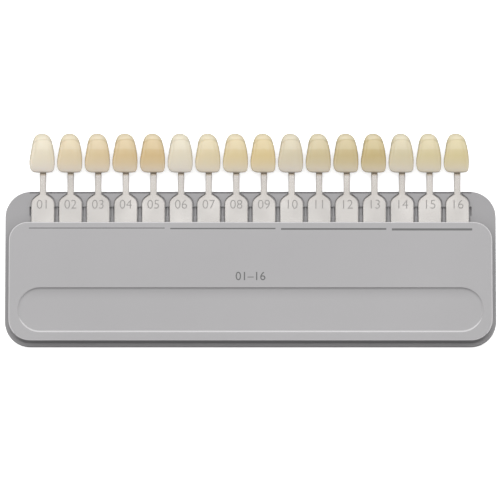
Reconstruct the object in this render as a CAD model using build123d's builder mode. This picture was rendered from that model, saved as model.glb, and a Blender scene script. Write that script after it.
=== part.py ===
from build123d import *
import os

# Dental shade guide, in millimetres. It lies on its back: X runs along the holder, +Y points
# from the grip towards the teeth, +Z is the front. The origin is the centre of the back face.

# Row of tabs
tab_count = 16
tab_pitch = 10.0
row_end_margin = 8.7

# Holder
tray_thickness = 2.4
cover_height = 5.2
cover_width = 43.8
cover_margin = 1.2
bay_ledge_width = 11.7
holder_corner_radius = 9.3
cover_top_corner_radius = 7.0
cover_draft = 3
tray_back_round = 0.6
tray_front_round = 0.3
cover_edge_round = 0.4

# Grip recess in the front cover
grip_recess_width = 16.4
grip_recess_side_inset = 3.5
grip_recess_bottom_inset = 3.3
grip_recess_depth = 0.45
grip_recess_slope = 45
grip_recess_floor_round = 0.9

# Cover moulding inside
cover_wall = 1.8
cover_ceiling = 2.4
locating_rib_height = 1.6
locating_rib_thickness = 1.2
locating_gap = 0.15

# Tab plate
plate_width = 8.3
plate_thickness = 1.0
plate_edge_bevel = 0.25
plate_end_round = 1.0
plate_insert_depth = 9.5
shoulder_rise = 2.1
shoulder_round = 3.2
neck_round = 1.8
neck_width = 2.3
neck_length = 7.55
shoulder_setback = 1.05
tang_length = 8.0

# Fits
slide_gap = 0.05
pocket_side_gap = 0.4
pocket_top_gap = 0.2
end_stop_gap = 0.2
bond_gap = 0.05
tab_lean = 0.4 * pocket_side_gap

# Bays in the tray's ledge
bay_relief_gap = 0.35
bay_relief_depth = 0.8
divider_window_width = 2.6
divider_window_length = 3.4
divider_window_offset = 2.8
divider_window_depth = 1.7
window_web_width = 0.5
window_web_drop = 0.8
lip_width = 0.25
lip_groove_width = 0.4
lip_groove_depth = 0.6

# Pocket ribs inside the cover
hold_down_rib_width = 0.8
hold_down_rib_spacing = 4.0
end_stop_width = 1.5

# Tooth sample
tooth_length = 14.65
tooth_left_half = 5.0
tooth_right_half = 4.4
tooth_front_rise = 3.0
tooth_back_drop = 1.8
tooth_squareness = 0.66
collar_height = 12.1
collar_arch_rise = 3.3
collar_arch_half = 4.4
collar_step = 0.25
root_start_share = 0.5

# Stations of the tooth from its biting edge to its root end: share of the length, of the left
# half width and of the right half width, then the back and the front face as shares of the
# back drop and the front rise.
tooth_stations = (
    (0.00, 0.60, 0.70, -0.50, 0.66),
    (0.03, 0.78, 0.86, -0.32, 0.76),
    (0.14, 0.97, 0.98, 0.00, 0.88),
    (0.34, 1.00, 1.00, 0.50, 0.98),
    (0.62, 0.86, 0.87, 0.98, 0.99),
    (0.85, 0.69, 0.67, 0.94, 0.82),
    (0.95, 0.46, 0.40, 0.66, 0.56),
    (1.00, 0.18, 0.12, 0.20, 0.18),
)

# Worked out from the sizes above
holder_length = tab_count * tab_pitch + 2 * row_end_margin
holder_width = cover_margin + cover_width + bay_ledge_width
holder_top_y = holder_width / 2
cover_length = holder_length - 2 * cover_margin
cover_bottom_y = -holder_top_y + cover_margin
cover_top_y = cover_bottom_y + cover_width
cover_centre_y = cover_bottom_y + cover_width / 2
cover_bottom_corner_radius = holder_corner_radius - cover_margin
front_z = tray_thickness + cover_height
ceiling_z = front_z - cover_ceiling

plate_back_z = tray_thickness + slide_gap
plate_front_z = plate_back_z + plate_thickness
pocket_width = plate_width + 2 * pocket_side_gap
pocket_ceiling_z = plate_front_z + pocket_top_gap

neck_base_y = holder_top_y - shoulder_setback
shoulder_y = neck_base_y - shoulder_rise
biting_edge_y = neck_base_y + neck_length
plate_end_y = cover_top_y - plate_insert_depth
end_stop_y = plate_end_y - end_stop_gap
tang_end_y = biting_edge_y + tang_length
tooth_mid_z = plate_front_z - bond_gap
collar_side_y = biting_edge_y + collar_height - collar_arch_rise
beyond_root_y = biting_edge_y + tooth_length + collar_step
root_stations = [station for station in tooth_stations if station[0] > root_start_share]

row_half = tab_count * tab_pitch / 2
bay_centres = [(index + 0.5) * tab_pitch - row_half for index in range(tab_count)]
divider_centres = [index * tab_pitch - row_half for index in range(1, tab_count)]
window_y = cover_top_y + divider_window_offset + divider_window_length / 2


def tab_outline(widening, bottom_y, top_y):
    """Lines round a tab seen from the front, every side moved outwards by widening."""
    plate_half = plate_width / 2 + widening
    neck_half = neck_width / 2 + widening
    Polyline(
        (-plate_half, bottom_y),
        (plate_half, bottom_y),
        (plate_half, shoulder_y + widening),
        (neck_half, neck_base_y + widening),
        (neck_half, top_y),
        (-neck_half, top_y),
        (-neck_half, neck_base_y + widening),
        (-plate_half, shoulder_y + widening),
        close=True,
    )


def round_tab_corners(corners, widening, root_round):
    """Round the shoulders and the roots of the neck of a tab's outline."""
    shoulders = corners.filter_by_position(Axis.Y, shoulder_y, shoulder_y + 2 * widening + 0.01)
    roots = corners.filter_by_position(Axis.Y, neck_base_y, neck_base_y + 2 * widening + 0.01)
    fillet(shoulders, shoulder_round + widening)
    fillet(roots, root_round)


def tooth_section(station, inset):
    """Closed curve of the tooth at one station, made of four quarters and drawn in by inset."""
    _, left_share, right_share, back_share, front_share = station
    left = left_share * tooth_left_half - inset
    right = right_share * tooth_right_half - inset
    back_z = tooth_mid_z - back_share * tooth_back_drop + inset
    top_z = tooth_mid_z + front_share * tooth_front_rise - inset
    middle_z = (back_z + top_z) / 2
    for side, end_z in ((right, top_z), (-left, top_z), (-left, back_z), (right, back_z)):
        Bezier(
            (side, middle_z),
            (side, middle_z + tooth_squareness * (end_z - middle_z)),
            (side * tooth_squareness, end_z),
            (0, end_z),
        )


# Tray: back plate with the ledge that carries the tabs
with BuildPart() as tray:
    with BuildSketch():
        RectangleRounded(holder_length, holder_width, holder_corner_radius)
    extrude(amount=tray_thickness)
    fillet(tray.faces().sort_by(Axis.Z)[0].edges(), tray_back_round)
    fillet(tray.faces().sort_by(Axis.Z)[-1].edges(), tray_front_round)

    # Shaped relief under each tab, open through the top edge at the neck
    with BuildSketch(Plane.XY.offset(tray_thickness)) as bay_reliefs:
        with Locations([(x, 0) for x in bay_centres]):
            with BuildSketch(mode=Mode.PRIVATE) as bay_relief:
                with BuildLine():
                    tab_outline(bay_relief_gap, cover_top_y, holder_top_y + tab_pitch)
                make_face()
                round_tab_corners(bay_relief.vertices(), bay_relief_gap, neck_round + bay_relief_gap)
            add(bay_relief.sketch)
    extrude(amount=-bay_relief_depth, mode=Mode.SUBTRACT)

    # Windows between the tabs, each with a low web left standing in its middle
    with BuildSketch(Plane.XY.offset(tray_thickness)):
        with Locations([(x, window_y) for x in divider_centres]):
            Rectangle(divider_window_width, divider_window_length)
    extrude(amount=-divider_window_depth, mode=Mode.SUBTRACT)
    with BuildSketch(Plane.XY.offset(tray_thickness - divider_window_depth)):
        with Locations([(x, window_y) for x in divider_centres]):
            Rectangle(window_web_width, divider_window_length)
    extrude(amount=divider_window_depth - window_web_drop)

    # Half windows outside the first and the last tab
    end_window_width = divider_window_width / 2
    end_window_x = row_half - end_window_width / 2
    with BuildSketch(Plane.XY.offset(tray_thickness)):
        with Locations((-end_window_x, window_y), (end_window_x, window_y)):
            Rectangle(end_window_width, divider_window_length)
    extrude(amount=-divider_window_depth, mode=Mode.SUBTRACT)

    # Groove just inside the top edge, which leaves a thin lip between the necks
    with BuildSketch(Plane.XY.offset(tray_thickness)):
        with Locations((0, holder_top_y - lip_width - lip_groove_width / 2)):
            Rectangle(2 * row_half, lip_groove_width)
    extrude(amount=-lip_groove_depth, mode=Mode.SUBTRACT)

    # Upright rib that locates the front cover, inside the cover's wall
    rib_outer = cover_wall + locating_gap
    rib_corner = cover_bottom_corner_radius - rib_outer
    rib_top_y = end_stop_y - end_stop_width - locating_gap
    rib_bottom_y = cover_bottom_y + rib_outer
    with BuildSketch(Plane.XY.offset(tray_thickness)):
        with Locations((0, (rib_top_y + rib_bottom_y) / 2)):
            RectangleRounded(cover_length - 2 * rib_outer, rib_top_y - rib_bottom_y, rib_corner)
            RectangleRounded(
                cover_length - 2 * (rib_outer + locating_rib_thickness),
                rib_top_y - rib_bottom_y - 2 * locating_rib_thickness,
                rib_corner - locating_rib_thickness,
                mode=Mode.SUBTRACT,
            )
    extrude(amount=locating_rib_height)

tray.part.label = "tray"

# Tool that sinks the grip recess: sloping sides and a softly rounded floor
with BuildPart() as grip_tool:
    with BuildSketch(Plane.XY.offset(front_z)):
        with Locations((0, cover_bottom_y + grip_recess_bottom_inset + grip_recess_width / 2)):
            SlotOverall(cover_length - 2 * grip_recess_side_inset, grip_recess_width)
    extrude(amount=-grip_recess_depth, taper=grip_recess_slope)
    fillet(grip_tool.faces().sort_by(Axis.Z)[0].edges(), grip_recess_floor_round)

# Front cover: drafted moulding, hollow behind the grip, with the tab pockets along its top
with BuildPart() as front_cover:
    with BuildSketch(Plane.XY.offset(tray_thickness)) as cover_foot:
        with Locations((0, cover_centre_y)):
            Rectangle(cover_length, cover_width)
        fillet(cover_foot.vertices().group_by(Axis.Y)[0], cover_bottom_corner_radius)
        fillet(cover_foot.vertices().group_by(Axis.Y)[-1], cover_top_corner_radius)
    extrude(amount=cover_height, taper=cover_draft)
    fillet(front_cover.faces().sort_by(Axis.Z)[-1].edges(), cover_edge_round)
    add(grip_tool.part, mode=Mode.SUBTRACT)

    # Hollow under the grip
    hollow_top_y = end_stop_y - end_stop_width
    hollow_bottom_y = cover_bottom_y + cover_wall
    with BuildSketch(Plane.XY.offset(tray_thickness)):
        with Locations((0, (hollow_top_y + hollow_bottom_y) / 2)):
            RectangleRounded(
                cover_length - 2 * cover_wall,
                hollow_top_y - hollow_bottom_y,
                cover_bottom_corner_radius - cover_wall,
            )
    extrude(amount=ceiling_z - tray_thickness, mode=Mode.SUBTRACT)

    # One pocket for each tab, open at the top wall
    with BuildSketch(Plane.XY.offset(tray_thickness)):
        with Locations([(x, (end_stop_y + cover_top_y) / 2) for x in bay_centres]):
            Rectangle(pocket_width, cover_top_y - end_stop_y)
    extrude(amount=pocket_ceiling_z - tray_thickness, mode=Mode.SUBTRACT)

    # Two hold-down ribs in the ceiling of each pocket
    rib_places = [
        (x + side * hold_down_rib_spacing / 2, (end_stop_y + cover_top_y - cover_wall) / 2)
        for x in bay_centres
        for side in (-1, 1)
    ]
    with BuildSketch(Plane.XY.offset(pocket_ceiling_z)):
        with Locations(rib_places):
            Rectangle(hold_down_rib_width, cover_top_y - cover_wall - end_stop_y)
    extrude(amount=slide_gap - pocket_top_gap)

front_cover.part.label = "front_cover"

# Tab plate: stamped strip with curved shoulders, a neck and the tang for the tooth
with BuildPart() as tab_plate:
    with BuildSketch(Plane.XY.offset(plate_back_z)) as plate_profile:
        with BuildLine():
            tab_outline(0, plate_end_y, tang_end_y)
        make_face()
        round_tab_corners(plate_profile.vertices(), 0, neck_round)
        fillet(plate_profile.vertices().group_by(Axis.Y)[0], plate_end_round)
    extrude(amount=plate_thickness)
    chamfer(tab_plate.faces().sort_by(Axis.Z)[-1].edges(), plate_edge_bevel)

# Root form of the tooth, drawn in all round by the collar step
with BuildPart() as root:
    for station in root_stations:
        station_y = biting_edge_y + station[0] * tooth_length - collar_step
        with BuildSketch(Plane.XZ.offset(-station_y)):
            with BuildLine():
                tooth_section(station, collar_step)
            make_face()
    loft()

# Tooth: lofted crown that ends at an arched collar in front, with the root form beyond it and a
# blind slot in its back for the tang
with BuildPart() as tooth:
    for station in tooth_stations:
        with BuildSketch(Plane.XZ.offset(-biting_edge_y - station[0] * tooth_length)):
            with BuildLine():
                tooth_section(station, 0)
            make_face()
    loft()
    with BuildSketch(Plane.XY.offset(tooth_mid_z)):
        with BuildLine():
            ThreePointArc(
                (-collar_arch_half, collar_side_y),
                (0, biting_edge_y + collar_height),
                (collar_arch_half, collar_side_y),
            )
            Polyline(
                (collar_arch_half, collar_side_y),
                (tooth_left_half, collar_side_y),
                (tooth_left_half, beyond_root_y),
                (-tooth_left_half, beyond_root_y),
                (-tooth_left_half, collar_side_y),
                (-collar_arch_half, collar_side_y),
            )
        make_face()
    extrude(amount=tooth_front_rise, mode=Mode.SUBTRACT)
    add(root.part)
    with BuildSketch(Plane.XY.offset(plate_back_z - bond_gap)):
        with Locations((0, (neck_base_y + tang_end_y + bond_gap) / 2)):
            Rectangle(neck_width + 2 * bond_gap, tang_end_y + bond_gap - neck_base_y)
    extrude(amount=plate_thickness + 2 * bond_gap, mode=Mode.SUBTRACT)

os.makedirs("parts", exist_ok=True)
export_step(tray.part, "parts/tray.step")
export_step(front_cover.part, "parts/front_cover.step")

# Sixteen tabs, each leaning a little to the same side of its bay
for number, bay_centre in enumerate(bay_centres, start=1):
    place = Location((bay_centre - tab_lean, 0, 0))
    carrier = tab_plate.part.moved(place)
    carrier.label = f"tab_plate_{number:02d}"
    export_step(carrier, f"parts/{carrier.label}.step")
    sample = tooth.part.moved(place)
    sample.label = f"tooth_{number:02d}"
    export_step(sample, f"parts/{sample.label}.step")
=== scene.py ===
"""Looks of a dental shade guide: grey holder, numbered metal tabs and sixteen tooth samples."""
import math

import bpy
from bpy.props import FloatProperty, FloatVectorProperty, IntProperty, PointerProperty
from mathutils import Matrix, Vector


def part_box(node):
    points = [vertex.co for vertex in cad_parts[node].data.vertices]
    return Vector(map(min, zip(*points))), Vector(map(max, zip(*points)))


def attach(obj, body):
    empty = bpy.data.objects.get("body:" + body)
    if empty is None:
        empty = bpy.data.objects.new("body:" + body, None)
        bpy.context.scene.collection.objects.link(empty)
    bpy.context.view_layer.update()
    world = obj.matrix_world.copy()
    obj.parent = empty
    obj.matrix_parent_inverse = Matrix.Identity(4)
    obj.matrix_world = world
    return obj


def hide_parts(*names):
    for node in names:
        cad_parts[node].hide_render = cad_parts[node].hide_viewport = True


bl_info = {
    "name": "Dental Shade Guide",
    "version": (1, 0, 0),
    "blender": (4, 5, 0),
    "location": "3D View > Sidebar > Shade Guide",
    "description": "Finishes the holder, the metal tabs and the tooth samples of a shade guide",
    "category": "Object",
}

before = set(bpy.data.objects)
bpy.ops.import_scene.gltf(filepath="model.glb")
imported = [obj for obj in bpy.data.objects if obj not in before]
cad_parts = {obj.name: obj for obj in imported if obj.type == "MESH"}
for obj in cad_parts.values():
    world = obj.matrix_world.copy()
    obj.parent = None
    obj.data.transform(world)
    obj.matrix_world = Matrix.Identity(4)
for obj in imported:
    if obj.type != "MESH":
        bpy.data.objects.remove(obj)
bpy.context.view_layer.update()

MM = 0.001
BLACK = (0.0, 0.0, 0.0)
WHITE = (1.0, 1.0, 1.0)

TAB_COUNT = sum(name.startswith("tooth_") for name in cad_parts)
# Space between a tang and the tooth round it
TANG_BOND = 0.05 * MM
# Thickness of lettering, half of it above the place it is given
TEXT_HEIGHT = 0.01 * MM

# A face's upward share, 1 on a flat and 0 on a wall, where edges, bevels and rims begin and end
FLAT_TO_EDGE = (0.995, 0.97)
WALL_TO_EDGE = (0.12, 0.30)
FLAT_TO_BEVEL = (0.95, 0.75)
CROWN_TO_RIM = (0.55, 0.15)
# A face's share towards the teeth, where an edge comes into the light and takes a painted
# highlight, and where a side wall turns away from the light and takes painted shade
SHADED_TO_LIT = (-0.65, -0.5)
SIDE_TO_SHADED_WALL = (-0.75, -0.95)
# How much more an edge inside the grip recess must face the teeth to take the painted highlight,
# as the recess shades its edges
RECESS_SHADING = 0.85
# How strongly the painted highlight shows on the edges of each moulding
TRAY_HIGHLIGHT = 0.1
COVER_HIGHLIGHT = 1.0
# The painted highlight is patchy: its least share and what the clouds add to it
HIGHLIGHT_LEAST = 0.7
HIGHLIGHT_SPREAD = 0.6

_, tray_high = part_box("tray")
cover_low, cover_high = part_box("front_cover")
first_tooth_low, first_tooth_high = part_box("tooth_01")
first_plate_low, first_plate_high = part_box("tab_plate_01")
TAB_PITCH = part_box("tab_plate_02")[0].x - first_plate_low.x
ROW_HALF = TAB_COUNT * TAB_PITCH / 2

# Tabs are sorted by hue into groups, and each group has one printed line over it
GROUP_SIZES = (5, 4, 4, 3)


def tab_places():
    """Number, group and place within the group, for every tab from left to right."""
    number = 1
    for group, size in enumerate(GROUP_SIZES):
        for place in range(size):
            yield number, group, place
            number += 1


def clear_selection():
    """Leave edit mode and deselect everything."""
    if bpy.context.object and bpy.context.object.mode != "OBJECT":
        bpy.ops.object.mode_set(mode="OBJECT")
    bpy.ops.object.select_all(action="DESELECT")


def activate(piece):
    """Make one object the only selected and active one."""
    clear_selection()
    piece.select_set(True)
    bpy.context.view_layer.objects.active = piece


def linear(colour):
    """Scene-linear value of a colour given by its display red, green and blue from 0 to 1."""
    return tuple(c / 12.92 if c <= 0.04045 else ((c + 0.055) / 1.055) ** 2.4 for c in colour)


def mixed(first, second, amount):
    """Colour between two others."""
    return tuple(a + (b - a) * amount for a, b in zip(first, second))


def rgba(colour, brightness=1.0):
    """Four-part colour of a three-part one, made brighter or darker."""
    return (*(channel * brightness for channel in colour), 1.0)


class Field:
    """A value that varies over a surface: one output socket, used in plain arithmetic."""

    def __init__(self, finish, socket):
        self.finish = finish
        self.socket = socket

    def output(self, name):
        """Another output of the same node."""
        return Field(self.finish, self.socket.node.outputs[name])

    def _math(self, operation, first, second):
        return self.finish.node("ShaderNodeMath", {"operation": operation}, {0: first, 1: second})

    def __add__(self, other):
        return self._math("ADD", self, other)

    __radd__ = __add__

    def __sub__(self, other):
        return self._math("SUBTRACT", self, other)

    def __rsub__(self, other):
        return self._math("SUBTRACT", other, self)

    def __mul__(self, other):
        return self._math("MULTIPLY", self, other)

    __rmul__ = __mul__

    def __gt__(self, other):
        return self._math("GREATER_THAN", self, other)

    def __lt__(self, other):
        return self._math("LESS_THAN", self, other)


class Finish:
    """A procedural material built around one Principled shader."""

    def __init__(self, name, **constants):
        self.material = bpy.data.materials.new(name)
        self.material.use_nodes = True
        self.tree = self.material.node_tree
        self.shader = self.tree.nodes["Principled BSDF"]
        for socket, value in constants.items():
            self.shader.inputs[socket.replace("_", " ")].default_value = value
        self.place = self.node("ShaderNodeTexCoord", output="Object")

    def node(self, kind, settings=None, inputs=None, output=0):
        """Add a node: settings first, a ramp's stops among them, then inputs; gives an output."""
        made = self.tree.nodes.new(kind)
        for name, value in (settings or {}).items():
            if name == "stops":
                self.set_stops(made.color_ramp.elements, value)
            else:
                setattr(made, name, value)
        for key, value in (inputs or {}).items():
            if isinstance(value, Field):
                self.tree.links.new(value.socket, made.inputs[key])
            else:
                made.inputs[key].default_value = value
        return Field(self, made.outputs[output])

    def parts(self, vector):
        """X, Y and Z of a vector."""
        split = self.node("ShaderNodeSeparateXYZ", None, {0: vector})
        return split, split.output("Y"), split.output("Z")

    def axes(self):
        """X, Y and Z of the surface in the object's own space, in metres."""
        return self.parts(self.place)

    def facing(self):
        """X, Y and Z of the way the surface faces, in the object's own space."""
        return self.parts(self.place.output("Normal"))

    def noise(self, scale=1.0, detail=2.0, stretch=(1, 1, 1), shift=(0, 0, 0)):
        """Noise on the object's own coordinates, from 0 to 1, with a stretch per axis."""
        mapped = self.node(
            "ShaderNodeMapping", None, {"Vector": self.place, "Scale": stretch, "Location": shift}
        )
        return self.node(
            "ShaderNodeTexNoise", None, {"Vector": mapped, "Scale": scale, "Detail": detail}
        )

    @staticmethod
    def set_stops(elements, stops):
        """Give a colour ramp its stops of position and colour."""
        while len(elements) < len(stops):
            elements.new(1.0)
        for element, (position, colour) in zip(elements, stops):
            element.position = position
            element.color = rgba(colour)

    def ramp(self, value, stops):
        """Colour that follows a value through stops of position and colour."""
        return self.node("ShaderNodeValToRGB", {"stops": stops}, {0: value})

    def share(self, value, low, high):
        """How far a value has come from low to high, held between 0 and 1."""
        return self.node(
            "ShaderNodeMapRange", None, {"Value": value, "From Min": low, "From Max": high}
        )

    def blend(self, amount, first, second):
        """Mix two colours by an amount."""
        return self.node(
            "ShaderNodeMix", {"data_type": "RGBA"}, {0: amount, 6: first, 7: second}, output=2
        )

    def clouded(self, cloud, colour, darkest, lightest):
        """Colour that wanders between a darker and a lighter brightness of itself."""
        return self.blend(cloud, rgba(colour, darkest), rgba(colour, lightest))

    def feed(self, socket, value):
        """Link a field to one of the shader's sockets."""
        self.tree.links.new(value.socket, self.shader.inputs[socket])

    def relief(self, height, strength, distance):
        """Bump of a height field, fed to the shader's normal."""
        self.feed("Normal", self.node(
            "ShaderNodeBump", None, {"Height": height, "Strength": strength, "Distance": distance}
        ))

    def put_on(self, piece):
        """Give the material to a piece in every slot it has."""
        if not piece.data.materials:
            piece.data.materials.append(self.material)
        for index in range(len(piece.data.materials)):
            piece.data.materials[index] = self.material


class HolderLook(bpy.types.PropertyGroup):
    """Grey moulding of the tray and the front cover, and the printing on it."""

    colour: FloatVectorProperty(
        name="Plastic", description="Colour of the holder's plastic", subtype="COLOR",
        size=3, min=0, max=1, default=linear((0.60, 0.595, 0.60)),
    )
    ledge_colour: FloatVectorProperty(
        name="Ledge", description="Colour of the tray, a little darker than the cover",
        subtype="COLOR", size=3, min=0, max=1, default=linear((0.558, 0.553, 0.558)),
    )
    bay_lit_colour: FloatVectorProperty(
        name="Bays", description="Colour down in the tab bays, lit up by the metal tabs",
        subtype="COLOR", size=3, min=0, max=1, default=linear((0.68, 0.675, 0.68)),
    )
    bay_start: FloatProperty(
        name="Bay start", description="Depth below the tabs at which a bay begins",
        subtype="DISTANCE", unit="LENGTH", default=0.2 * MM,
    )
    # Painted highlight on the edges that face the light, standing in for their sheen
    edge_highlight_colour: FloatVectorProperty(
        name="Edges", description="Lighter colour of the edges, polished by handling",
        subtype="COLOR", size=3, min=0, max=1, default=linear((0.74, 0.735, 0.74)),
    )
    lip_width: FloatProperty(
        name="Lip width", description="Width of the lip between the bays and the top edge",
        subtype="DISTANCE", unit="LENGTH", default=0.6 * MM,
    )
    # Painted shade on the walls at the grip, which face away from the light
    grip_shading: FloatProperty(
        name="Grip film", description="How much handling has darkened the walls at the grip",
        subtype="FACTOR", min=0, max=1, default=0.34,
    )
    recess_drop: FloatProperty(
        name="Recess drop", description="Distance of the grip recess below the cover's top edge",
        subtype="DISTANCE", unit="LENGTH", default=24.1 * MM,
    )
    recess_margin: FloatProperty(
        name="Recess margin", description="Distance from the cover's sides that clears its rim",
        subtype="DISTANCE", unit="LENGTH", default=2.5 * MM,
    )
    # Painted shadow in the grip recess below its upper edge
    recess_shadow_length: FloatProperty(
        name="Recess fade", description="Length over which the recess darkens upwards",
        subtype="DISTANCE", unit="LENGTH", default=5.0 * MM,
    )
    recess_shadow_strength: FloatProperty(
        name="Recess shade", description="How much the recess darkens at its upper edge",
        subtype="FACTOR", min=0, max=1, default=0.26,
    )
    ink: FloatVectorProperty(
        name="Ink", description="Colour of the printed lines and numbers", subtype="COLOR",
        size=3, min=0, max=1, default=linear((0.36, 0.36, 0.36)),
    )
    face_depth: FloatProperty(
        name="Face depth", description="Depth from which the surface is no longer the face",
        subtype="DISTANCE", unit="LENGTH", default=0.1 * MM,
    )
    line_drop: FloatProperty(
        name="Line drop", description="Distance of the lines below the cover's top edge",
        subtype="DISTANCE", unit="LENGTH", default=2.34 * MM,
    )
    line_width: FloatProperty(
        name="First line", description="Thickness of the first group's line",
        subtype="DISTANCE", unit="LENGTH", default=0.34 * MM,
    )
    line_growth: FloatProperty(
        name="Line growth", description="How much thicker each further group's line is",
        subtype="DISTANCE", unit="LENGTH", default=0.15 * MM,
    )
    line_step: FloatProperty(
        name="Line step", description="How much lower each further group's line starts",
        subtype="DISTANCE", unit="LENGTH", default=0.09 * MM,
    )
    line_gap: FloatProperty(
        name="Line gap", description="Gap between one group's line and the next",
        subtype="DISTANCE", unit="LENGTH", default=2.0 * MM,
    )
    range_size: FloatProperty(
        name="Range size", description="Type size of the printed range of numbers",
        subtype="DISTANCE", unit="LENGTH", default=4.4 * MM,
    )
    range_drop: FloatProperty(
        name="Range drop", description="Distance of the printed range below the top edge",
        subtype="DISTANCE", unit="LENGTH", default=20.2 * MM,
    )


class PlateLook(bpy.types.PropertyGroup):
    """Stamped metal of the tab plates and their engraved numbers."""

    metal: FloatVectorProperty(
        name="Metal", description="Reflection colour of the plates", subtype="COLOR",
        size=3, min=0, max=1, default=linear((0.745, 0.732, 0.720)),
    )
    # A darker band on the metal just below the tooth; the neck is darkened towards the same colour
    dark_band_colour: FloatVectorProperty(
        name="Band", description="Dark primed metal where the plate enters the tooth",
        subtype="COLOR", size=3, min=0, max=1, default=linear((0.64, 0.60, 0.55)),
    )
    dark_band_length: FloatProperty(
        name="Primer length", description="How much of the primed metal shows below the tooth",
        subtype="DISTANCE", unit="LENGTH", default=0.75 * MM,
    )
    neck_darkening: FloatProperty(
        name="Neck dulling", description="How much duller the neck is than the plate",
        subtype="FACTOR", min=0, max=1, default=0.20,
    )
    number_colour: FloatVectorProperty(
        name="Engraving", description="Colour of the engraved numbers", subtype="COLOR",
        size=3, min=0, max=1, default=linear((0.55, 0.54, 0.53)),
    )
    number_size: FloatProperty(
        name="Number size", description="Type size of the engraved numbers",
        subtype="DISTANCE", unit="LENGTH", default=4.75 * MM,
    )
    number_thinning: FloatProperty(
        name="Number thinning", description="How much the strokes are drawn in on each side",
        subtype="DISTANCE", unit="LENGTH", default=0.04 * MM,
    )
    number_setback: FloatProperty(
        name="Number setback", description="Centre of the numbers below the holder's top edge",
        subtype="DISTANCE", unit="LENGTH", default=5.0 * MM,
    )


class ToothLook(bpy.types.PropertyGroup):
    """Form details of the tooth samples."""

    collar_height: FloatProperty(
        name="Collar height", description="Top of the collar arch above the biting edge",
        subtype="DISTANCE", unit="LENGTH", default=12.1 * MM,
    )
    collar_arch_rise: FloatProperty(
        name="Collar rise", description="Height of the collar arch from its sides to its top",
        subtype="DISTANCE", unit="LENGTH", default=3.3 * MM,
    )
    collar_half_width: FloatProperty(
        name="Collar half width", description="Half the width of the arch over that height",
        subtype="DISTANCE", unit="LENGTH", default=4.4 * MM,
    )
    collar_step: FloatProperty(
        name="Collar step", description="How far the root lies below the crown's face",
        subtype="DISTANCE", unit="LENGTH", default=0.25 * MM,
    )
    collar_softness: FloatProperty(
        name="Collar softness", description="Length over which the collar steps down",
        subtype="DISTANCE", unit="LENGTH", default=0.3 * MM,
    )
    detail: IntProperty(
        name="Detail", description="Subdivision levels of a tooth", min=1, max=4, default=3,
    )


class StageLook(bpy.types.PropertyGroup):
    """Floor, lights and camera."""

    pitch: FloatProperty(
        name="Camera pitch", description="Lean of the camera from straight above",
        subtype="ANGLE", unit="ROTATION", default=math.radians(9.0),
    )
    distance: FloatProperty(
        name="Camera distance", description="Distance from the camera to the guide",
        subtype="DISTANCE", unit="LENGTH", default=2.2,
    )
    aim_x: FloatProperty(
        name="Aim across", description="Point along the row that the camera aims at",
        subtype="DISTANCE", unit="LENGTH", default=-0.2 * MM,
    )
    aim_y: FloatProperty(
        name="Aim along", description="Point across the holder that the camera aims at",
        subtype="DISTANCE", unit="LENGTH", default=7.32 * MM,
    )
    view_width: FloatProperty(
        name="View width", description="Width of the picture at the guide",
        subtype="DISTANCE", unit="LENGTH", default=181.0 * MM,
    )
    floor: FloatVectorProperty(
        name="Floor", description="Colour of the floor", subtype="COLOR",
        size=3, min=0, max=1, default=(0.95, 0.95, 0.95),
    )
    floor_glow: FloatProperty(
        name="Floor glow", description="Light that the floor gives off itself", min=0, default=0.5,
    )
    top_light: FloatProperty(
        name="Top light", description="Power of the softbox overhead",
        subtype="POWER", unit="POWER", default=21.0,
    )
    back_light: FloatProperty(
        name="Back light", description="Power of the softbox behind the teeth",
        subtype="POWER", unit="POWER", default=30.0,
    )
    left_light: FloatProperty(
        name="Left light", description="Power of the softbox on the left",
        subtype="POWER", unit="POWER", default=12.5,
    )
    right_light: FloatProperty(
        name="Right light", description="Power of the softbox on the right",
        subtype="POWER", unit="POWER", default=11.0,
    )
    room_light: FloatProperty(
        name="Room light", description="Strength of the light from all round",
        min=0, default=0.2,
    )


def holder_finish(name, plastic, edge_highlight):
    """Satin moulded plastic, with a painted highlight on the edges that face the light and painted
    shade on the walls at the grip; gives the base colour too.
    """
    look = bpy.context.scene.shade_guide_holder
    finish = Finish(name, Specular_IOR_Level=0.45)
    cloud = finish.noise(scale=25.0, detail=3.0)
    grain = finish.noise(scale=4200.0, detail=1.0)
    _, to_teeth, upright = finish.facing()

    plain = finish.clouded(cloud, plastic, darkest=0.96, lightest=1.04)
    # Painted shade on the walls at the grip, which face away from the light
    shading = finish.share(to_teeth, *SIDE_TO_SHADED_WALL) * look.grip_shading
    shaded_walls = finish.blend(shading, plain, rgba(BLACK))

    x, y, _ = finish.axes()
    margin = look.recess_margin
    across_recess = (x > cover_low.x + margin) * (x < cover_high.x - margin)
    along_recess = (y > cover_low.y + margin) * (y < cover_high.y - look.recess_drop)
    recess_shading_share = across_recess * along_recess * RECESS_SHADING
    lit_side = finish.share(to_teeth - recess_shading_share, *SHADED_TO_LIT)
    edge = finish.share(upright, *FLAT_TO_EDGE) * finish.share(upright, *WALL_TO_EDGE)
    # Painted highlight on the edges that face the light, patchy with the clouds
    painted_highlight = edge * lit_side * (HIGHLIGHT_LEAST + cloud * HIGHLIGHT_SPREAD) * edge_highlight
    colour = finish.blend(painted_highlight, shaded_walls, rgba(look.edge_highlight_colour))

    finish.feed("Base Color", colour)
    finish.feed("Roughness", 0.34 + grain * 0.12)
    finish.relief(grain, strength=0.25, distance=0.02 * MM)
    return finish, colour


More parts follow.
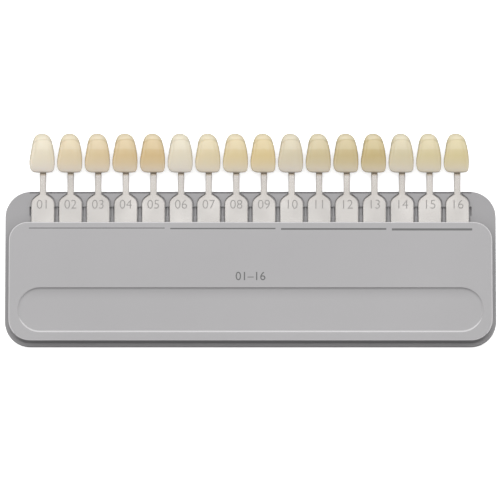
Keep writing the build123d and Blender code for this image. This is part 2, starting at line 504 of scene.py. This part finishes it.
def tray_finish():
    """Plastic of the tray: darker on the open ledge, and lighter down in the bays with painted
    light, as if thrown up by the metal tabs.
    """
    look = bpy.context.scene.shade_guide_holder
    finish, colour = holder_finish("holder_plastic", look.ledge_colour, TRAY_HIGHLIGHT)
    _, y, z = finish.axes()
    in_row = (y > cover_high.y) * (y < tray_high.y - look.lip_width)
    in_bay = in_row * (z < first_plate_low.z - look.bay_start)
    # Painted light down in the bays, reflected up off the metal tabs
    finish.feed("Base Color", finish.blend(in_bay, colour, rgba(look.bay_lit_colour)))
    return finish


def paint_recess_shadow(finish, colour):
    """Paint the soft shadow that the grip recess's upper edge casts, darkest at that edge; gives
    the new base colour.
    """
    look = bpy.context.scene.shade_guide_holder
    _, y, z = finish.axes()
    recess_top = cover_high.y - look.recess_drop
    fade = finish.share(y, recess_top - look.recess_shadow_length, recess_top)
    in_recess = (y < recess_top) * (z < cover_high.z - look.face_depth)
    return finish.blend(fade * fade * in_recess * look.recess_shadow_strength, colour, rgba(BLACK))


def print_group_lines(finish, colour):
    """Lay the printed line of every hue group over the plastic of the cover's face."""
    look = bpy.context.scene.shade_guide_holder
    x, y, z = finish.axes()
    start = -ROW_HALF
    lines = 0.0
    for index, size in enumerate(GROUP_SIZES):
        end = start + size * TAB_PITCH
        left = start if index == 0 else start + look.line_gap / 2
        right = end if index == len(GROUP_SIZES) - 1 else end - look.line_gap / 2
        thickness = look.line_width + index * look.line_growth
        top = cover_high.y - look.line_drop - index * look.line_step
        lines = lines + (x > left) * (x < right) * (y < top) * (y > top - thickness)
        start = end
    on_face = z > cover_high.z - look.face_depth
    finish.feed("Base Color", finish.blend(lines * on_face, colour, rgba(look.ink)))


def plate_finish():
    """Satin metal with fine polishing lines, darker on the neck and dark in a band just below the
    tooth.
    """
    look = bpy.context.scene.shade_guide_plates
    finish = Finish("plate_metal", Metallic=1.0)
    _, y, _ = finish.axes()
    _, _, upright = finish.facing()
    strokes = finish.noise(detail=3.0, stretch=(6000.0, 350.0, 900.0))
    cloud = finish.noise(scale=100.0, detail=1.0)
    bright = finish.clouded(cloud, look.metal, darkest=0.80, lightest=1.17)
    neck = finish.share(y, tray_high.y - look.number_setback, tray_high.y)
    metal = finish.blend(neck * look.neck_darkening, bright, rgba(look.dark_band_colour))
    banded = y > first_tooth_low.y - look.dark_band_length
    finish.feed("Base Color", finish.blend(banded, metal, rgba(look.dark_band_colour)))
    bevel = finish.share(upright, *FLAT_TO_BEVEL)
    finish.feed("Roughness", 0.17 + strokes * 0.04 + bevel * 0.4)
    finish.relief(strokes, strength=0.02, distance=0.02 * MM)
    return finish


def ink_finish(name, colour):
    """Matt mark on plastic or metal, a little uneven."""
    finish = Finish(name, Roughness=0.6)
    cloud = finish.noise(scale=3000.0)
    finish.feed("Base Color", finish.clouded(cloud, colour, darkest=0.85, lightest=1.05))
    return finish


def add_text(name, words, size, place, thinning=0.0):
    """Flat lettering with its strokes thinned, centred on a place and made a mesh."""
    clear_selection()
    bpy.ops.object.text_add(location=place)
    text = bpy.context.object
    text.name = name
    text.data.body = words
    text.data.size = size
    text.data.align_x = "CENTER"
    text.data.align_y = "CENTER"
    text.data.extrude = TEXT_HEIGHT / 2
    text.data.offset = -thinning
    bpy.ops.object.convert(target="MESH")
    bpy.ops.object.transform_apply(location=True, rotation=True, scale=True)
    return text


# Body shade of the first and the last tooth of each hue group, as display colours
GROUP_SHADES = (
    ((0.787, 0.750, 0.668), (0.724, 0.630, 0.455)),
    ((0.768, 0.735, 0.655), (0.748, 0.672, 0.492)),
    ((0.729, 0.688, 0.591), (0.678, 0.608, 0.422)),
    ((0.726, 0.684, 0.566), (0.732, 0.680, 0.518)),
)
# A power below 1 makes the first steps within a group the largest
SHADE_CURVE = 0.6
# Shades that the body shade is mixed with along a tooth, and how much of them
EDGE_SHADE = (0.748, 0.722, 0.715)
ROOT_SHADE = (0.850, 0.825, 0.750)
EDGE_AMOUNT = 0.55
# The upper shade's lift over the body is partly a painted reflection of the light above
UPPER_AND_REFLECTION_AMOUNT = 0.26
ROOT_AMOUNT = 0.62
CLEAR_AND_LIT_AMOUNT = 0.45
# How much of the clear and lit shade the rim takes on: a clearer enamel rim, and painted light
# that lifts the sides where the shading falls off
RIM_CLEAR_AND_LIT = 0.6
# How far the layers waver along a tooth, as a share of its length
LAYER_WAVER = 0.03


def tooth_finish(number, group, place):
    """Glossy layered shade: lighter at the root end, partly by a painted reflection; greyer at the
    edge, with a painted highlight on its rim; clearer and lighter at the sides, partly painted
    light.
    """
    first, last = GROUP_SHADES[group]
    body = mixed(first, last, (place / (GROUP_SIZES[group] - 1)) ** SHADE_CURVE)
    edge = mixed(body, EDGE_SHADE, EDGE_AMOUNT)
    upper = mixed(body, ROOT_SHADE, UPPER_AND_REFLECTION_AMOUNT)
    root = mixed(body, ROOT_SHADE, ROOT_AMOUNT)
    clear_and_lit = mixed(body, WHITE, CLEAR_AND_LIT_AMOUNT)
    finish = Finish(
        f"shade_{number:02d}", Specular_IOR_Level=0.5, Subsurface_Weight=0.2,
        Subsurface_Scale=1.6 * MM, Subsurface_Radius=(1.0, 0.72, 0.48),
    )
    _, y, _ = finish.axes()
    _, _, upright = finish.facing()
    low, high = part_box(f"tooth_{number:02d}")
    cloud = finish.noise(scale=420.0, shift=(number, 0, 0))
    height = finish.share(y, low.y, high.y) + (cloud - 0.5) * LAYER_WAVER
    layers = finish.ramp(height, (
        # A touch of white on the biting edge: a painted highlight on its rim
        (0.00, linear(mixed(edge, WHITE, 0.10))),
        (0.06, linear(edge)),
        (0.24, linear(mixed(body, edge, 0.35))),
        (0.42, linear(body)),
        # The sharp step up into the upper shade is a painted reflection of the light above the
        # teeth
        (0.560, linear(mixed(body, upper, 0.25))),
        (0.595, linear(mixed(body, upper, 0.85))),
        (0.80, linear(upper)),
        (0.87, linear(root)),
    ))
    # Painted light lifts the sides of the tooth, along with a clearer enamel rim
    rim = finish.share(upright, *CROWN_TO_RIM)
    finish.feed("Base Color", finish.blend(rim * RIM_CLEAR_AND_LIT, layers, rgba(linear(clear_and_lit))))
    finish.feed("Roughness", 0.08 + cloud * 0.08)
    ripples = finish.noise(stretch=(260.0, 2600.0, 400.0))
    finish.relief(ripples, strength=0.10, distance=0.05 * MM)
    return finish


# Rings of the tooth from its biting edge to its root end: share of the length, of the left and
# the right half width, then of the back drop and the front rise about the tang's front face.
TOOTH_RINGS = (
    (0.008, 0.54, 0.62, -0.52, 0.64),
    (0.020, 0.70, 0.77, -0.42, 0.72),
    (0.055, 0.85, 0.88, -0.27, 0.79),
    (0.140, 0.965, 0.94, -0.02, 0.875),
    (0.330, 0.985, 0.96, 0.50, 0.98),
    (0.480, 0.893, 0.923, 0.80, 1.00),
    (0.620, 0.843, 0.845, 0.98, 0.99),
    (0.740, 0.808, 0.775, 1.00, 0.94),
    (0.850, 0.72, 0.68, 0.94, 0.82),
    (0.930, 0.60, 0.51, 0.75, 0.63),
    (0.980, 0.44, 0.26, 0.44, 0.38),
    (1.000, 0.23, 0.09, 0.19, 0.17),
)
TOOTH_LEFT_HALF = 5.0 * MM
TOOTH_RIGHT_HALF = 4.4 * MM
TOOTH_BACK_DROP = 1.8 * MM
TOOTH_FRONT_RISE = 3.0 * MM
RING_POINTS = 16
# Rounding draws the rings in, so that they are modelled this much larger
RING_OVERSIZE = 1.026
# How far a ring's vertex is off its axes goes from 0 there to 1 on the diagonals. Those past each
# of these shares are pushed out, for a section between a circle and a rounded square.
OFF_AXES_SHARES = (0.5, 0.9)
DIAGONAL_PUSH = 1.03
# Share of the first ring's size outside which its vertices are on the rim
RIM_SHARE = 0.95
COLLAR_PASSES = 4
# A power above 2 keeps the collar's arch flat in the middle and steep at the sides
COLLAR_POWER = 3.2


def ring_place(ring, axis_x, mid_z):
    """Centre and half sizes of one ring of a tooth."""
    share, left_share, right_share, back_share, front_share = ring
    left = left_share * TOOTH_LEFT_HALF
    right = right_share * TOOTH_RIGHT_HALF
    back = mid_z - back_share * TOOTH_BACK_DROP
    front = mid_z + front_share * TOOTH_FRONT_RISE
    length = first_tooth_high.y - first_tooth_low.y
    centre = Vector((
        axis_x + (right - left) / 2, first_tooth_low.y + share * length, (back + front) / 2
    ))
    return centre, (left + right) / 2 * RING_OVERSIZE, (front - back) / 2 * RING_OVERSIZE


def edit_vertices(piece, chosen):
    """Enter edit mode with exactly the vertices selected for which chosen is true."""
    if piece.mode == "EDIT":
        bpy.ops.object.mode_set(mode="OBJECT")
    for part in (*piece.data.polygons, *piece.data.edges):
        part.select = False
    for vertex in piece.data.vertices:
        vertex.select = chosen(vertex.co)
    bpy.ops.object.mode_set(mode="EDIT")


def model_tooth(name):
    """Model one tooth at the first tab: a ring drawn along the crown, closed and rounded."""
    axis_x = (first_plate_low.x + first_plate_high.x) / 2
    mid_z = first_plate_high.z - TANG_BOND
    places = [ring_place(ring, axis_x, mid_z) for ring in TOOTH_RINGS]
    centre, half_width, half_depth = places[0]

    clear_selection()
    bpy.ops.mesh.primitive_circle_add(
        vertices=RING_POINTS, radius=1.0, location=centre, rotation=(math.pi / 2, 0, 0)
    )
    tooth = bpy.context.object
    tooth.name = name
    bpy.ops.object.transform_apply(location=True, rotation=True, scale=True)

    def off_axes(co, least):
        turn = math.atan2(co.z - centre.z, co.x - centre.x)
        return abs(math.sin(2 * turn)) > least

    for least in OFF_AXES_SHARES:
        edit_vertices(tooth, lambda co: off_axes(co, least))
        bpy.ops.transform.resize(value=(DIAGONAL_PUSH, 1, DIAGONAL_PUSH), center_override=centre)
    bpy.ops.mesh.select_all(action="SELECT")
    bpy.ops.transform.resize(value=(half_width, 1, half_depth), center_override=centre)
    bpy.ops.mesh.fill_grid(span=RING_POINTS // 4)

    def on_rim(co):
        across, up = (co.x - centre.x) / half_width, (co.z - centre.z) / half_depth
        return math.hypot(across, up) > RIM_SHARE

    edit_vertices(tooth, on_rim)
    for previous, place in zip(places, places[1:]):
        step = place[0] - previous[0]
        growth = (place[1] / previous[1], 1, place[2] / previous[2])
        bpy.ops.mesh.extrude_edges_move(TRANSFORM_OT_translate={"value": step})
        bpy.ops.transform.resize(value=growth, center_override=place[0])
    bpy.ops.mesh.fill_grid(span=RING_POINTS // 4)
    bpy.ops.mesh.select_all(action="SELECT")
    bpy.ops.mesh.normals_make_consistent(inside=False)
    bpy.ops.object.mode_set(mode="OBJECT")

    rounding = tooth.modifiers.new("rounding", "SUBSURF")
    rounding.levels = bpy.context.scene.shade_guide_teeth.detail
    rounding.render_levels = rounding.levels
    bpy.ops.object.modifier_apply(modifier=rounding.name)
    return tooth


def cut_collar(tooth):
    """Press the root end in beyond an arched line, in passes that leave a soft step."""
    look = bpy.context.scene.shade_guide_teeth
    axis_x = (first_plate_low.x + first_plate_high.x) / 2
    peak_y = first_tooth_low.y + look.collar_height
    for index in range(COLLAR_PASSES):
        shift = (index / (COLLAR_PASSES - 1) - 0.5) * look.collar_softness

        def beyond(co):
            across = abs(co.x - axis_x) / look.collar_half_width
            arch_y = peak_y - look.collar_arch_rise * across ** COLLAR_POWER + shift
            return co.y > arch_y and co.z > first_plate_high.z

        edit_vertices(tooth, beyond)
        bpy.ops.transform.shrink_fatten(value=-look.collar_step / COLLAR_PASSES)
    bpy.ops.object.mode_set(mode="OBJECT")


class SHADEGUIDE_OT_dress_holder(bpy.types.Operator):
    """Give the tray and the front cover their moulded plastic and printed lines"""

    bl_idname = "shade_guide.dress_holder"
    bl_label = "Dress Holder"

    def execute(self, context):
        look = context.scene.shade_guide_holder
        tray_finish().put_on(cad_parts["tray"])
        cover_plastic, colour = holder_finish("cover_plastic", look.colour, COVER_HIGHLIGHT)
        print_group_lines(cover_plastic, paint_recess_shadow(cover_plastic, colour))
        cover_plastic.put_on(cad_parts["front_cover"])
        return {"FINISHED"}


class SHADEGUIDE_OT_print_range(bpy.types.Operator):
    """Print the range of tab numbers on the front cover"""

    bl_idname = "shade_guide.print_range"
    bl_label = "Print Range"

    def execute(self, context):
        look = context.scene.shade_guide_holder
        place = (0, cover_high.y - look.range_drop, cover_high.z)
        text = add_text("range_print", f"01\u2013{TAB_COUNT:02d}", look.range_size, place)
        ink_finish("range_ink", look.ink).put_on(text)
        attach(text, "holder")
        return {"FINISHED"}


class SHADEGUIDE_OT_dress_plates(bpy.types.Operator):
    """Give every tab plate its satin metal"""

    bl_idname = "shade_guide.dress_plates"
    bl_label = "Dress Plates"

    def execute(self, context):
        finish = plate_finish()
        for number, _, _ in tab_places():
            finish.put_on(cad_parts[f"tab_plate_{number:02d}"])
        return {"FINISHED"}


class SHADEGUIDE_OT_engrave_numbers(bpy.types.Operator):
    """Put a plain number on every tab plate"""

    bl_idname = "shade_guide.engrave_numbers"
    bl_label = "Engrave Numbers"

    def execute(self, context):
        look = context.scene.shade_guide_plates
        finish = ink_finish("engraving", look.number_colour)
        for number, _, _ in tab_places():
            low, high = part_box(f"tab_plate_{number:02d}")
            number_y = tray_high.y - look.number_setback
            place = ((low.x + high.x) / 2, number_y, high.z + TEXT_HEIGHT / 2)
            text = add_text(
                f"number_{number:02d}", f"{number:02d}", look.number_size, place,
                thinning=look.number_thinning,
            )
            finish.put_on(text)
            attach(text, f"tab_{number:02d}")
        return {"FINISHED"}


class SHADEGUIDE_OT_model_teeth(bpy.types.Operator):
    """Model the tooth sample once and set a shaded copy on every tab"""

    bl_idname = "shade_guide.model_teeth"
    bl_label = "Model Teeth"

    def execute(self, context):
        pattern = model_tooth("tooth_pattern")
        cut_collar(pattern)
        activate(pattern)
        bpy.ops.object.shade_smooth()
        for number, group, place in tab_places():
            node = f"tooth_{number:02d}"
            sample = pattern.copy()
            sample.data = pattern.data.copy()
            sample.name = f"sample_{number:02d}"
            context.collection.objects.link(sample)
            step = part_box(node)[0].x - first_tooth_low.x
            activate(sample)
            sample.location = (step, 0, 0)
            bpy.ops.object.transform_apply(location=True, rotation=False, scale=False)
            tooth_finish(number, group, place).put_on(sample)
            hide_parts(node)
            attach(sample, f"tab_{number:02d}")
        bpy.data.objects.remove(pattern, do_unlink=True)
        return {"FINISHED"}


# Softboxes: name, width and height in metres, place, and the property that holds the power
SOFTBOXES = (
    ("top_box", (3.2, 2.1), (0.0, -0.42, 1.67), "top_light"),
    ("back_box", (2.6, 1.6), (0.0, 1.17, 1.5), "back_light"),
    ("left_box", (1.6, 1.15), (-1.4, 0.3, 0.5), "left_light"),
    ("right_box", (1.6, 1.15), (1.4, 0.3, 0.5), "right_light"),
)
FLOOR_SIZE = 6.0


def add_softbox(name, size, location, watts):
    """Rectangular area light aimed at the guide and hidden from the camera."""
    data = bpy.data.lights.new(name, "AREA")
    data.shape = "RECTANGLE"
    data.size, data.size_y = size
    data.energy = watts
    lamp = bpy.data.objects.new(name, data)
    bpy.context.collection.objects.link(lamp)
    lamp.location = location
    lamp.rotation_euler = (-Vector(location)).to_track_quat("-Z", "Y").to_euler()
    lamp.visible_camera = False


class SHADEGUIDE_OT_set_stage(bpy.types.Operator):
    """Add the pale floor, the soft lights and the camera"""

    bl_idname = "shade_guide.set_stage"
    bl_label = "Set Stage"

    def execute(self, context):
        look = context.scene.shade_guide_stage
        clear_selection()
        bpy.ops.mesh.primitive_plane_add(size=FLOOR_SIZE, location=(0, 0, 0))
        floor = bpy.context.object
        floor.name = "floor"
        finish = Finish(
            "floor_card", Roughness=0.9, Emission_Color=rgba(WHITE),
            Emission_Strength=look.floor_glow,
        )
        fibre = finish.noise(scale=30.0)
        finish.feed("Base Color", finish.clouded(fibre, look.floor, darkest=0.99, lightest=1.0))
        finish.put_on(floor)
        # The floor throws no light back, so that the walls at the grip stay dark
        floor.visible_diffuse = False
        floor.visible_glossy = False

        for name, size, place, power in SOFTBOXES:
            add_softbox(name, size, place, getattr(look, power))

        world = context.scene.world or bpy.data.worlds.new("studio")
        context.scene.world = world
        world.use_nodes = True
        background = world.node_tree.nodes["Background"]
        background.inputs["Color"].default_value = rgba(WHITE)
        background.inputs["Strength"].default_value = look.room_light
        context.scene.view_settings.view_transform = "Standard"

        aim = Vector((look.aim_x, look.aim_y, 0))
        direction = Vector((0, -math.sin(look.pitch), math.cos(look.pitch)))
        data = bpy.data.cameras.new("camera")
        camera = bpy.data.objects.new("camera", data)
        context.collection.objects.link(camera)
        camera.location = aim + direction * look.distance
        camera.rotation_euler = (look.pitch, 0, 0)
        data.sensor_width = 36.0
        data.lens = data.sensor_width * look.distance / look.view_width
        data.clip_start = 0.1
        data.clip_end = 20.0
        context.scene.camera = camera
        return {"FINISHED"}


class SHADEGUIDE_PT_panel(bpy.types.Panel):
    """Steps and sizes of the shade guide"""

    bl_idname = "SHADEGUIDE_PT_panel"
    bl_label = "Shade Guide"
    bl_space_type = "VIEW_3D"
    bl_region_type = "UI"
    bl_category = "Shade Guide"

    def draw(self, context):
        for operator, look in STEPS:
            box = self.layout.box()
            box.operator(operator)
            if look:
                group = getattr(context.scene, look)
                for name in group.__annotations__:
                    box.prop(group, name)


STEPS = (
    ("shade_guide.set_stage", "shade_guide_stage"),
    ("shade_guide.dress_holder", "shade_guide_holder"),
    ("shade_guide.print_range", None),
    ("shade_guide.dress_plates", "shade_guide_plates"),
    ("shade_guide.engrave_numbers", None),
    ("shade_guide.model_teeth", "shade_guide_teeth"),
)
LOOKS = {
    "shade_guide_holder": HolderLook,
    "shade_guide_plates": PlateLook,
    "shade_guide_teeth": ToothLook,
    "shade_guide_stage": StageLook,
}
CLASSES = (
    *LOOKS.values(),
    SHADEGUIDE_OT_set_stage,
    SHADEGUIDE_OT_dress_holder,
    SHADEGUIDE_OT_print_range,
    SHADEGUIDE_OT_dress_plates,
    SHADEGUIDE_OT_engrave_numbers,
    SHADEGUIDE_OT_model_teeth,
    SHADEGUIDE_PT_panel,
)


def register():
    """Register the classes and hang the property groups on the scene."""
    for cls in CLASSES:
        bpy.utils.register_class(cls)
    for name, group in LOOKS.items():
        setattr(bpy.types.Scene, name, PointerProperty(type=group))


def unregister():
    """Take the property groups and the classes away again."""
    for name in LOOKS:
        delattr(bpy.types.Scene, name)
    for cls in reversed(CLASSES):
        bpy.utils.unregister_class(cls)


def main():
    """Run every step in order."""
    register()
    clear_selection()
    bpy.ops.shade_guide.set_stage()
    bpy.ops.shade_guide.dress_holder()
    bpy.ops.shade_guide.print_range()
    bpy.ops.shade_guide.dress_plates()
    bpy.ops.shade_guide.engrave_numbers()
    bpy.ops.shade_guide.model_teeth()
    clear_selection()


if __name__ == "__main__":
    main()
